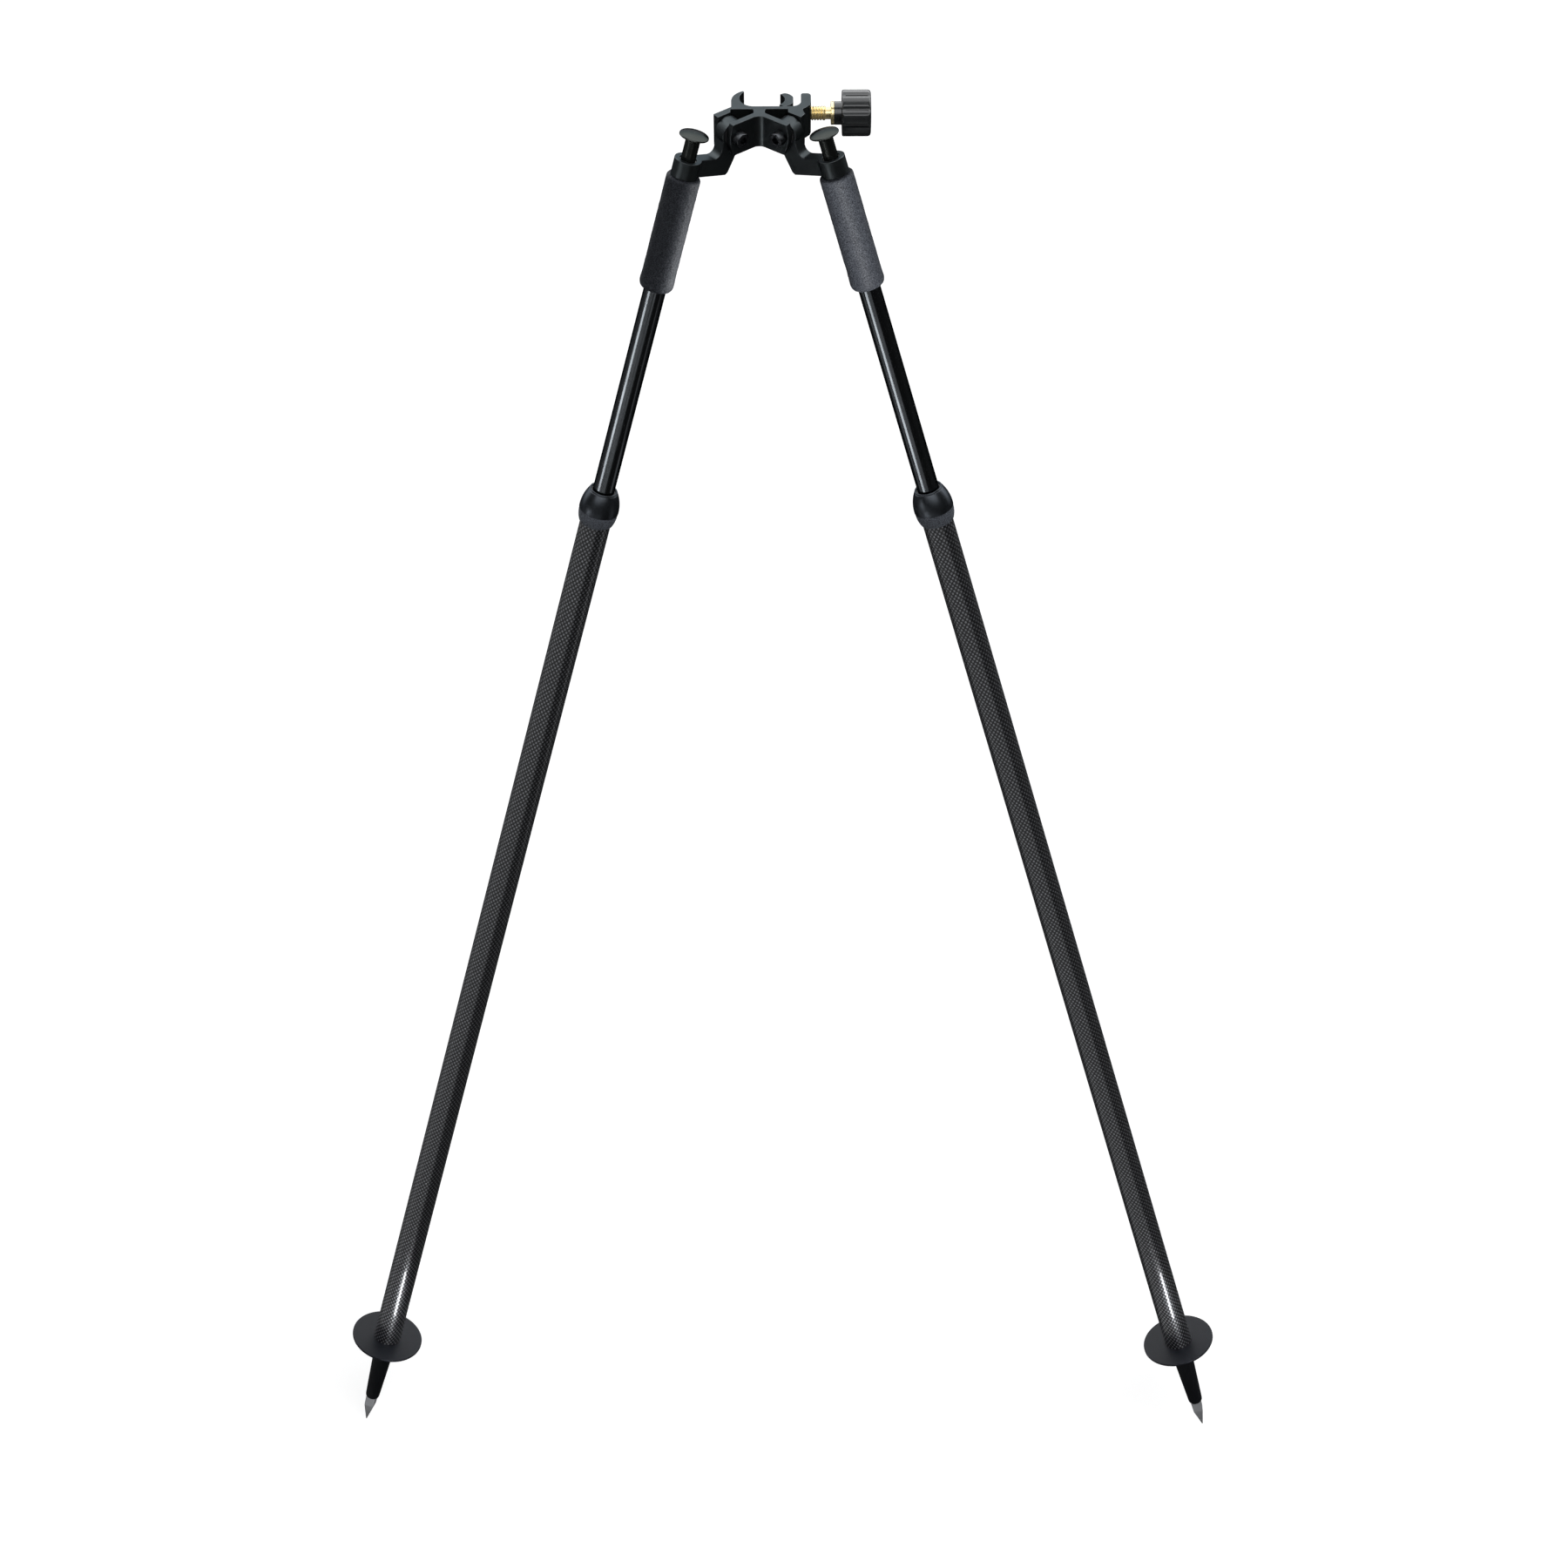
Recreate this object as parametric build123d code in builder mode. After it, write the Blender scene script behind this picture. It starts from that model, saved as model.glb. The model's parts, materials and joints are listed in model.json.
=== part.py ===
from build123d import *
from math import cos, pi, radians, sin, tan
import os

os.makedirs("parts", exist_ok=True)

# Row frame: the clamped pole's axis is +Z, the origin is at the clamp's mid height, +X is to the knob.
# ---- clamp head, an extruded section ----
pole_radius = 12.6
head_height = 31.0
head_mid_x = 4.4
cheek_angle = 36.0
slot_plane_y = 1.06
slot_half = 6.2
front_cheek = 5.5
rear_cheek = 6.6
front_reach = 39.2
rear_reach = 39.4
web_thickness = 4.2
pocket_inner_x = 4.9
pocket_outer_x = 24.8
finger_inner_x = 36.1
finger_outer_x = 44.7
finger_top_y = 19.6
finger_heel = [(43.8, 1.6), (40.5, -2.1), (37.6, -4.3), (37.6, -6.6)]
finger_round = 3.0
finger_top_round = (2.0, 3.4)
hook_tip_angle = 132.0
hook_back_angle = 205.0
hook_shoulder = (-24.2, 8.6)
hook_crest = (-21.6, 17.3)
hook_lip = (-13.6, 23.5)
hook_root_x = 23.9
bend_radius = 8.0
pocket_radius = 2.4
pocket_floor_radius = 0.8
nose_top = 3.6
nose_middle = 0.1
nose_bottom = 4.4

# ---- leg pivots ----
pivot_reach = 30.9
pivot_z = 2.0
bolt_radius = 4.0
bolt_head_radius = 6.5
bolt_head_height = 8.0
bolt_rim = 0.9
bolt_shortfall = 0.6
hex_socket = 6.0
hex_depth = 4.2
front_hole_gap = 0.25
rear_hole_gap = 0.05
bracket_thickness = 11.4
knuckle_radius = 11.8
arm_edge = 8.9
arm_fillet = 6.5
arm_edge_top = -7.7
heel_out = -2.4
heel_edge = (-4.6, 2.6)
spine_out = -7.6
knuckle_tangent = (-11.3, -3.4)
bush_radius = 6.0
washer_radius = 10.0
leg_tilt = {"left": 17.8, "right": 19.5}

# ---- clamp screw, jaw and knob ----
screw_y = 12.0
screw_major = 12.5
neck_diameter = 10.5
flange_x = 61.9
flange_diameter = 20.0
flange_thickness = 2.6
flange_edge = 0.4
tip_start = 24.5
tip_radius = 4.0
groove_radius = 2.8
groove_start = 25.5
groove_end = 28.3
socket_x = 29.4
root_radius = 5.2
thread_start = 30.8
neck_gap = 4.6
spindle_radius = 5.0
spindle_length = 16.0
knob_x = 71.5
knob_diameter = 40.0
knob_length = 25.0
knob_edge = 1.6
knob_end_edge = 3.0
knob_hub_radius = 10.0
hub_edge = 0.6
knob_lobes = 8
first_valley = 5.3
valley_radius = 8.4
valley_offset = 7.2
slot_depth = 1.4
slot_height = 2.4
slot_width = 1.1
slot_start = 4.0
slot_length = 19.0
cap_seat_radius = 9.0
cap_depth = 1.5
cap_thickness = 1.7
jaw_height = 30.0
jaw_clearance = 0.3
jaw_upper = (18.0, 18.9)
jaw_hollow = (22.2, 11.3)
jaw_lower = (17.2, 3.2)
jaw_foot_x = 21.4
jaw_crown = (21.6, 20.6)
jaw_back_low = (26.9, 2.9)
jaw_back_high = (26.6, 18.6)
jaw_flat = (8.0, 14.2)
jaw_socket_depth = 5.2
jaw_pin_radius = 1.0
jaw_pin_offset = (-2.5, -3.9)

# ---- leg, measured down the leg axis from the top of the bracket's barrel ----
barrel_offset = 39.0
barrel_drop = 23.5
barrel_diameter = 24.0
barrel_length = 16.2
cap_radius = 12.9
cap_top = 24.8
cap_rim_top = 22.0
cap_rim_bottom = 21.0
cap_under = 18.8
stem_diameter = 13.0
stem_top = 17.6
grip_diameter = 30.0
grip_end = 124.5
grip_edge = 3.2
barrel_mouth = 15.0
key_width = 3.2
key_depth = 1.5
key_drop = 9.0
key_length = 25.0
bush_top = 1.2
rod_diameter = 20.0
rod_bore = 16.0
rod_start = 6.5
rod_end = 905.0
stem_end = 12.0
release_diameter = 6.0
plug_start = 45.0
plug_length = 5.0
spring_wire = 1.2
spring_mean = 10.8
spring_coils = 8
mandrel_length = 25.0
mandrel_flange = 4.0
collet_length = 28.0
collet_slots = 3
collet_slot_width = 1.6
wedge_start = 915.0
wedge_end = 934.0
wedge_radius = 8.0
wedge_tip_radius = 3.8
wedge_tail = 4.0
collar_top = 332.5
collar_wide = 354.5
collar_end = 367.5
collar_diameter = 36.6
collar_bore = 11.2
collar_lip = (13.1, 0.5)
collar_belly = (16.6, 9.0)
collar_shoulder = 7.0
brim_height = 3.0
band_belly = (0.4, 5.5)
band_lower = 15.6
band_end = 15.0
bush_length = 52.0
tube_diameter = 28.5
tube_bore = 25.5
tube_start = 343.5
tube_end = 1406.5
disc_diameter = 75.0
disc_thickness = 2.5
disc_edge = 0.4
cone_neck = 11.0
cone_tip_radius = 7.4
cone_tip_edge = (6.9, 1.2)
cone_end = 1497.0
spigot_length = 38.0
shank_length = 20.0
shank_radius = 4.0
point_end = 1533.0
point_side = 10.6
point_turn = 35.0
point_waist = 13.0
point_taper = 0.7
point_tip = 0.9

# ---- clearances ----
running_gap = 0.06
seat_gap = 0.02
overcut = 1.0

web_rear_y = -pole_radius
u_cos = cos(radians(cheek_angle))
u_sin = sin(radians(cheek_angle))


def head(x, y):
    """A point of the head's section, from its mid plane and the web's rear face."""
    return (x + head_mid_x, y + web_rear_y)


def cheek(side, reach, offset):
    """A point of one cheek, from its slot's mid plane."""
    x = side * (reach * u_cos + offset * u_sin)
    return head(x, slot_plane_y - reach * u_sin + offset * u_cos)


def slot_line(x, offset):
    """Height in the section of a cheek face at a distance x from the mid plane."""
    return slot_plane_y + offset / u_cos - x * tan(radians(cheek_angle))


def nearest(sketch, point):
    """The corner of a section that lies closest to a point."""
    return sketch.vertices().sort_by_distance(Vector(point[0], point[1], 0))[0]


class Side:
    """Directions and planes of one side's pivot and leg."""

    def __init__(self, label, side):
        tilt = radians(leg_tilt[label])
        self.label = label
        self.side = side
        self.across = Vector(side * u_cos, -u_sin, 0)
        self.rear = Vector(side * u_sin, u_cos, 0)
        self.out = self.across * cos(tilt) + Vector(0, 0, 1) * sin(tilt)
        self.up = self.across * -sin(tilt) + Vector(0, 0, 1) * cos(tilt)
        base = cheek(side, pivot_reach, 0)
        self.pivot = Vector(base[0], base[1], pivot_z)
        self.swing = self.out.cross(self.up)
        self.top = self.pivot + self.out * barrel_offset - self.up * barrel_drop
        self.profile = Plane(origin=self.pivot, x_dir=self.out, z_dir=self.swing)
        self.section = Plane(origin=self.top, x_dir=self.out, z_dir=self.swing)
        self.axis = Axis(self.top, self.up)

    def level(self, depth):
        """Plane across the leg at a depth, with its normal up the leg."""
        return Plane(origin=self.top - self.up * depth, x_dir=self.out, z_dir=self.up)

    def pin_plane(self, offset):
        """Plane across the pivot bolt, with its normal to the rear."""
        return Plane(origin=self.pivot + self.rear * offset, x_dir=self.across, z_dir=self.rear)


sides = [Side("left", -1), Side("right", 1)]


def ring(leg, outline):
    """A closed section of (radius, depth) points, to turn about the leg's axis."""
    with BuildSketch(leg.section, mode=Mode.PRIVATE) as cut:
        with BuildLine():
            Polyline(*[(radius, -depth) for radius, depth in outline], close=True)
        make_face()
    return cut.sketch


def save(piece, label):
    piece.part.label = label
    export_step(piece.part, "parts/" + label + ".step")


# ================= clamp body =================
half = head_height / 2
tip_a = radians(hook_tip_angle)
hook_tip = (pole_radius * cos(tip_a), pole_radius * sin(tip_a))
back_a = radians(hook_back_angle)
hook_mid = (pole_radius * cos(back_a), pole_radius * sin(back_a))
front_offset = -slot_half - front_cheek
rear_offset = slot_half + rear_cheek

with BuildPart() as clamp_body:
    with BuildSketch(Plane.XY.offset(-half)) as section:
        with BuildLine():
            Polyline(
                (0.0, web_rear_y),
                head(finger_inner_x, 0.0),
                head(finger_inner_x, finger_top_y),
                head(finger_outer_x, finger_top_y),
                head(finger_outer_x, 2 * finger_round),
                *[head(*corner) for corner in finger_heel],
                cheek(1, rear_reach, rear_offset),
                cheek(1, rear_reach, slot_half),
                cheek(1, front_reach, -slot_half),
                cheek(1, front_reach, front_offset),
                head(0.0, slot_line(0.0, front_offset)),
                cheek(-1, front_reach, front_offset),
                cheek(-1, front_reach, -slot_half),
                cheek(-1, rear_reach, slot_half),
                cheek(-1, rear_reach, rear_offset),
                head(-hook_root_x, slot_line(hook_root_x, rear_offset)),
                head(*hook_shoulder),
            )
            ThreePointArc(head(*hook_shoulder), head(*hook_crest), head(*hook_lip))
            Line(head(*hook_lip), hook_tip)
            ThreePointArc(hook_tip, hook_mid, (0.0, web_rear_y))
        make_face()
        fillet(nearest(section, head(finger_inner_x, 0.0)), bend_radius)
        fillet(nearest(section, head(finger_inner_x, finger_top_y)), finger_top_round[0])
        fillet(nearest(section, head(finger_outer_x, finger_top_y)), finger_top_round[1])
        fillet(nearest(section, head(finger_outer_x, 2 * finger_round)), finger_round)
        fillet(nearest(section, head(0.0, slot_line(0.0, front_offset))), bend_radius)
    extrude(amount=head_height)
    for side in (-1, 1):
        with BuildSketch(Plane.XY.offset(-half)) as pocket:
            with BuildLine():
                Polyline(
                    head(side * pocket_inner_x, -web_thickness),
                    head(side * pocket_outer_x, -web_thickness),
                    head(side * pocket_outer_x, slot_line(pocket_outer_x, slot_half)),
                    cheek(side, 2 * pivot_reach, slot_half),
                    cheek(side, 2 * pivot_reach, -slot_half),
                    head(side * pocket_inner_x, slot_line(pocket_inner_x, -slot_half)),
                    close=True,
                )
            make_face()
            deep_corner = head(side * pocket_inner_x, slot_line(pocket_inner_x, -slot_half))
            fillet(nearest(pocket, head(side * pocket_inner_x, -web_thickness)), pocket_radius)
            fillet(nearest(pocket, deep_corner), pocket_radius)
            fillet(nearest(pocket, head(side * pocket_outer_x, -web_thickness)), pocket_floor_radius)
        extrude(amount=head_height, mode=Mode.SUBTRACT)
    for leg in sides:
        with BuildSketch(leg.pin_plane(front_offset - overcut)):
            with BuildLine():
                reach = front_reach - pivot_reach
                top = (reach - nose_top, half - pivot_z + overcut)
                middle = (reach - nose_middle, -pivot_z)
                bottom = (reach - nose_bottom, -half - pivot_z - overcut)
                clear = reach + bend_radius
                ThreePointArc(top, middle, bottom)
                Polyline(bottom, (clear, bottom[1]), (clear, top[1]), top)
            make_face()
        extrude(amount=front_cheek + 3 * overcut, mode=Mode.SUBTRACT)
        with Locations(leg.pin_plane(-slot_half - front_cheek / 2)):
            Cylinder(bolt_radius + front_hole_gap, front_cheek + 2 * overcut, mode=Mode.SUBTRACT)
        with Locations(leg.pin_plane(slot_half + rear_cheek / 2)):
            Cylinder(bolt_radius + rear_hole_gap, rear_cheek + 2 * overcut, mode=Mode.SUBTRACT)
    finger_mid = head((finger_inner_x + finger_outer_x) / 2, screw_y)
    with Locations(Plane(origin=(finger_mid[0], finger_mid[1], 0), z_dir=(1, 0, 0))):
        Cylinder(screw_major / 2 + running_gap, 2 * (finger_outer_x - finger_inner_x), mode=Mode.SUBTRACT)
save(clamp_body, "clamp_body")

# ================= pivot bolts and washers =================
for leg in sides:
    with BuildPart() as pivot_bolt:
        with BuildSketch(leg.pin_plane(front_offset)):
            Circle(bolt_radius)
        extrude(amount=rear_offset - front_offset - bolt_shortfall)
        with BuildSketch(leg.pin_plane(front_offset)):
            Circle(bolt_head_radius)
        extrude(amount=-bolt_head_height)
        rim = pivot_bolt.edges().filter_by(GeomType.CIRCLE).sort_by(Axis(leg.pivot, leg.rear))[0]
        fillet(rim, bolt_rim)
        with BuildSketch(leg.pin_plane(front_offset - bolt_head_height)):
            RegularPolygon(hex_socket / 2, 6, major_radius=False)
        extrude(amount=hex_depth, mode=Mode.SUBTRACT)
    save(pivot_bolt, "pivot_bolt_" + leg.label)

    gap = slot_half - bracket_thickness / 2
    for place, offset in (("front", -slot_half), ("rear", slot_half - gap + running_gap)):
        with BuildPart() as pivot_washer:
            with BuildSketch(leg.pin_plane(offset)):
                Circle(washer_radius)
                Circle(bolt_radius + running_gap, mode=Mode.SUBTRACT)
            extrude(amount=gap - running_gap)
        save(pivot_washer, "pivot_washer_" + place + "_" + leg.label)

# ================= moving jaw =================
screw_axis_y = screw_y + web_rear_y
with BuildPart() as moving_jaw:
    with BuildSketch(Plane.XY.offset(-jaw_height / 2)):
        with BuildLine():
            upper = head(*jaw_upper)
            lower = head(*jaw_lower)
            crown = head(*jaw_crown)
            foot = head(jaw_foot_x, jaw_clearance)
            flat_low = head(socket_x, jaw_flat[0])
            flat_high = head(socket_x, jaw_flat[1])
            ThreePointArc(upper, head(*jaw_hollow), lower)
            Line(lower, foot)
            ThreePointArc(foot, head(*jaw_back_low), flat_low)
            Line(flat_low, flat_high)
            ThreePointArc(flat_high, head(*jaw_back_high), crown)
            Line(crown, upper)
        make_face()
    extrude(amount=jaw_height)
    socket = head(socket_x, screw_y)
    with Locations(Plane(origin=(socket[0] - jaw_socket_depth / 2, socket[1], 0), z_dir=(1, 0, 0))):
        Cylinder(tip_radius + 0.1, jaw_socket_depth, mode=Mode.SUBTRACT)
    pin_place = (socket[0] + jaw_pin_offset[0], socket[1] + jaw_pin_offset[1], 0)
    with Locations(pin_place):
        Cylinder(jaw_pin_radius, jaw_height + 2 * overcut, mode=Mode.SUBTRACT)
save(moving_jaw, "moving_jaw")

with BuildPart() as jaw_pin:
    with Locations(pin_place):
        Cylinder(jaw_pin_radius - seat_gap, jaw_height - overcut)
save(jaw_pin, "jaw_pin")

# ================= clamp screw and knob =================
screw_plane = Plane(origin=(head_mid_x, screw_axis_y, 0), x_dir=(1, 0, 0), z_dir=(0, -1, 0))
screw_line = Axis((head_mid_x, screw_axis_y, 0), (1, 0, 0))
thread_end = flange_x - neck_gap
chamfer_length = (screw_major - neck_diameter) / 2 - 0.2
flange_end = flange_x + flange_thickness
spindle_end = knob_x + spindle_length
with BuildPart() as clamp_screw:
    with BuildSketch(screw_plane):
        with BuildLine():
            Polyline(
                (tip_start, 0.0),
                (tip_start, tip_radius - flange_edge),
                (tip_start + flange_edge, tip_radius),
                (groove_start, tip_radius),
                (groove_start, groove_radius),
                (groove_end, groove_radius),
                (groove_end, tip_radius),
                (socket_x + 0.3, tip_radius),
                (socket_x + 0.3, root_radius),
                (thread_start, screw_major / 2),
                (thread_end - chamfer_length, screw_major / 2),
                (thread_end, neck_diameter / 2),
                (flange_x, neck_diameter / 2),
                (flange_x, flange_diameter / 2 - flange_edge),
                (flange_x + flange_edge, flange_diameter / 2),
                (flange_end, flange_diameter / 2),
                (flange_end, spindle_radius),
                (spindle_end, spindle_radius),
                (spindle_end, 0.0),
                close=True,
            )
        make_face()
    revolve(axis=screw_line)
save(clamp_screw, "clamp_screw")

knob_end = knob_x + knob_length


def across_knob(x):
    """Plane across the knob's axis at a distance from the head's mid plane."""
    return Plane(origin=(head_mid_x + x, screw_axis_y, 0), z_dir=(1, 0, 0))


with BuildPart() as clamp_knob:
    with BuildSketch(screw_plane):
        with BuildLine():
            Polyline(
                (flange_end, 0.0),
                (flange_end, knob_hub_radius - hub_edge),
                (flange_end + hub_edge, knob_hub_radius),
                (knob_x, knob_hub_radius),
                (knob_x, knob_diameter / 2 - knob_edge),
                (knob_x + knob_edge, knob_diameter / 2),
                (knob_end - knob_end_edge, knob_diameter / 2),
                (knob_end, knob_diameter / 2 - knob_end_edge),
                (knob_end, 0.0),
                close=True,
            )
        make_face()
    revolve(axis=screw_line)
    knob_face = across_knob(knob_x - overcut)
    for lobe in range(knob_lobes):
        bearing = radians(first_valley + lobe * 360.0 / knob_lobes)
        away = Vector(0, -cos(bearing), sin(bearing))
        valley = knob_face.origin + away * (knob_diameter / 2 + valley_offset)
        with BuildSketch(Plane(origin=valley, z_dir=(1, 0, 0))):
            Circle(valley_radius)
        extrude(amount=knob_length + 2 * overcut, mode=Mode.SUBTRACT)
        slot_place = knob_face.origin + away * (knob_diameter / 2 - slot_depth)
        with BuildSketch(Plane(origin=slot_place, x_dir=away, z_dir=(1, 0, 0)).offset(slot_start)):
            Rectangle(slot_height, slot_width)
        extrude(amount=slot_length, mode=Mode.SUBTRACT)
    with BuildSketch(across_knob(flange_end - overcut)):
        Circle(spindle_radius + seat_gap)
    extrude(amount=spindle_end + 0.2 - flange_end + overcut, mode=Mode.SUBTRACT)
    with BuildSketch(across_knob(knob_end - cap_depth)):
        Circle(cap_seat_radius)
    extrude(amount=cap_depth + overcut, mode=Mode.SUBTRACT)
save(clamp_knob, "clamp_knob")

with BuildPart() as knob_cap:
    with BuildSketch(across_knob(knob_end - cap_depth + running_gap)):
        Circle(cap_seat_radius - running_gap)
    extrude(amount=cap_thickness)
    chamfer(knob_cap.edges().filter_by(GeomType.CIRCLE).sort_by(Axis.X)[-1], flange_edge)
save(knob_cap, "knob_cap")


# ================= the two legs =================
def build_leg(leg):
    """All the pieces of one leg, from its bracket down to its steel point."""
    label = leg.label
    barrel_bottom = barrel_drop + barrel_length
    stem_radius = stem_diameter / 2
    rod_radius = rod_diameter / 2
    bore_radius = rod_bore / 2
    tube_radius = tube_diameter / 2
    inside_radius = tube_bore / 2

    with BuildPart() as leg_bracket:
        with BuildSketch(leg.profile):
            Circle(knuckle_radius)
            with BuildLine():
                Polyline(
                    (arm_edge + arm_fillet, -barrel_drop),
                    (barrel_offset, -barrel_drop),
                    (barrel_offset, -barrel_bottom),
                    (heel_out, -barrel_bottom),
                    (heel_edge[0], -barrel_bottom + heel_edge[1]),
                    (spine_out, -barrel_drop),
                    knuckle_tangent,
                    (0.0, 0.0),
                    (arm_edge, arm_edge_top),
                    (arm_edge, -barrel_drop + arm_fillet),
                )
                RadiusArc(
                    (arm_edge, -barrel_drop + arm_fillet),
                    (arm_edge + arm_fillet, -barrel_drop),
                    -arm_fillet,
                )
            make_face()
        extrude(amount=bracket_thickness / 2, both=True)
        with Locations(leg.level(barrel_length / 2)):
            Cylinder(barrel_diameter / 2, barrel_length)
        with Locations(leg.level(0)):
            Cylinder(barrel_mouth / 2, 2 * barrel_length, mode=Mode.SUBTRACT)
        with Locations(leg.level(rod_start + barrel_length / 2)):
            Cylinder(rod_radius + seat_gap, barrel_length, mode=Mode.SUBTRACT)
        with Locations(leg.pin_plane(0)):
            Cylinder(bush_radius + seat_gap, bracket_thickness + 2 * overcut, mode=Mode.SUBTRACT)
    save(leg_bracket, "leg_bracket_" + label)

    with BuildPart() as pivot_bush:
        with Locations(leg.pin_plane(0)):
            Cylinder(bush_radius, bracket_thickness - 2 * running_gap)
            Cylinder(bolt_radius + running_gap, bracket_thickness + 2 * overcut, mode=Mode.SUBTRACT)
    save(pivot_bush, "pivot_bush_" + label)

    with BuildPart() as thumb_button:
        with BuildSketch(leg.section):
            with BuildLine():
                shoulder = (cap_radius - 1.0, cap_rim_top + 0.7)
                rim = (cap_radius, cap_rim_bottom)
                crown = (0.0, cap_top)
                ThreePointArc(crown, (cap_radius / 2, cap_top - 0.5), shoulder)
                ThreePointArc(shoulder, (cap_radius, cap_rim_top), rim)
                Polyline(
                    rim,
                    (cap_radius - 3.5, cap_under + 0.5),
                    (stem_radius + 0.9, cap_under),
                    (stem_radius, stem_top),
                    (stem_radius, -stem_end),
                    (0.0, -stem_end),
                    crown,
                )
            make_face()
        revolve(axis=leg.axis)
        keyway = leg.level(key_drop).origin - leg.out * (stem_radius - key_depth / 2 + overcut / 2)
        with BuildSketch(Plane(origin=keyway, x_dir=leg.out, z_dir=leg.up)):
            Rectangle(key_depth + overcut, key_width)
        extrude(amount=key_length, mode=Mode.SUBTRACT)
    save(thumb_button, "thumb_button_" + label)

    with BuildPart() as button_bush:
        mouth = barrel_mouth / 2 - seat_gap
        inner = stem_radius + running_gap
        bush_end = rod_start - 0.1
        outline = [(inner, bush_top), (mouth, bush_top), (mouth, bush_end), (inner, bush_end)]
        revolve(ring(leg, outline), axis=leg.axis)
        key = leg.level(bush_end).origin - leg.out * (stem_radius - key_depth / 2 + 0.4)
        with BuildSketch(Plane(origin=key, x_dir=leg.out, z_dir=leg.up)):
            Rectangle(key_depth, key_width - 0.4)
        extrude(amount=bush_end - bush_top)
    save(button_bush, "button_bush_" + label)

    with BuildPart() as grip:
        with BuildSketch(leg.section) as grip_outline:
            top = barrel_length + 0.2
            core = rod_radius + seat_gap
            with BuildLine():
                Polyline(
                    (core, -top),
                    (grip_diameter / 2, -top),
                    (grip_diameter / 2, -grip_end),
                    (core, -grip_end),
                    close=True,
                )
            make_face()
            fillet(grip_outline.vertices().filter_by(lambda corner: corner.X > core + 1), grip_edge)
        revolve(axis=leg.axis)
    save(grip, "grip_" + label)

    with BuildPart() as inner_rod:
        outline = [
            (bore_radius, rod_start),
            (rod_radius, rod_start),
            (rod_radius, rod_end),
            (bore_radius, rod_end),
        ]
        revolve(ring(leg, outline), axis=leg.axis)
    save(inner_rod, "inner_rod_" + label)

    with BuildPart() as rod_plug:
        inner = release_diameter / 2 + 0.15
        outer = bore_radius - seat_gap
        plug_end = plug_start + plug_length
        outline = [(inner, plug_start), (outer, plug_start), (outer, plug_end), (inner, plug_end)]
        revolve(ring(leg, outline), axis=leg.axis)
    save(rod_plug, "rod_plug_" + label)

    with BuildPart() as release_spring:
        length = plug_start - stem_end - spring_wire - 0.4
        seat = leg.level(plug_start - spring_wire / 2 - 0.1).origin
        with BuildLine() as coil:
            Helix(length / spring_coils, length, spring_mean / 2, center=seat, direction=leg.up)
        with BuildSketch(Plane(origin=coil.line @ 0, z_dir=coil.line % 0)):
            Circle(spring_wire / 2)
        sweep(path=coil.line)
    save(release_spring, "release_spring_" + label)

    with BuildPart() as release_rod:
        radius = release_diameter / 2
        outline = [(0.0, stem_end), (radius, stem_end), (radius, wedge_start), (0.0, wedge_start)]
        revolve(ring(leg, outline), axis=leg.axis)
    save(release_rod, "release_rod_" + label)

    with BuildPart() as lock_wedge:
        outline = [
            (0.0, wedge_start),
            (wedge_tip_radius, wedge_start),
            (wedge_radius, wedge_end),
            (wedge_radius, wedge_end + wedge_tail),
            (0.0, wedge_end + wedge_tail),
        ]
        revolve(ring(leg, outline), axis=leg.axis)
    save(lock_wedge, "lock_wedge_" + label)

    mandrel_end = rod_end + mandrel_flange
    with BuildPart() as lock_mandrel:
        inner = release_diameter / 2 + 0.1
        plug = bore_radius - seat_gap
        outline = [
            (inner, rod_end - mandrel_length),
            (plug, rod_end - mandrel_length),
            (plug, rod_end),
            (inside_radius - 0.75, rod_end),
            (inside_radius - 0.75, mandrel_end),
            (inner, mandrel_end),
        ]
        revolve(ring(leg, outline), axis=leg.axis)
    save(lock_mandrel, "lock_mandrel_" + label)

    with BuildPart() as lock_collet:
        outer = inside_radius - 0.1
        collet_end = mandrel_end + collet_length
        outline = [
            (release_diameter / 2 + 0.3, mandrel_end),
            (outer, mandrel_end),
            (outer, collet_end),
            (wedge_radius + 0.9, collet_end),
            (wedge_tip_radius + 0.5, wedge_start - 1.0),
            (release_diameter / 2 + 0.3, wedge_start - 1.0),
        ]
        revolve(ring(leg, outline), axis=leg.axis)
        for slot in range(collet_slots):
            turn = (0, 0, 30 + slot * 360 / collet_slots)
            with BuildSketch(leg.level(collet_end + overcut).rotated(turn)):
                with Locations((outer / 2 + 2.5, 0)):
                    Rectangle(outer + 2.0, collet_slot_width)
            extrude(amount=collet_length - 3.0, mode=Mode.SUBTRACT)
    save(lock_collet, "lock_collet_" + label)

    shoulder = collar_top + collar_shoulder
    wide = collar_diameter / 2
    with BuildPart() as guide_collar:
        with BuildSketch(leg.section):
            lip = (collar_lip[0], -collar_top - collar_lip[1])
            belly = (collar_belly[0], -collar_top - collar_belly[1])
            brim = (wide, -collar_wide + brim_height)
            with BuildLine():
                Polyline((collar_bore, -collar_top), (collar_lip[0] - 0.4, -collar_top), lip)
                ThreePointArc(lip, belly, brim)
                Polyline(
                    brim,
                    (wide, -collar_wide),
                    (tube_radius + 0.05, -collar_wide),
                    (tube_radius + 0.05, -shoulder),
                    (collar_bore, -shoulder),
                    (collar_bore, -collar_top),
                )
            make_face()
        revolve(axis=leg.axis)
    save(guide_collar, "guide_collar_" + label)

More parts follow.
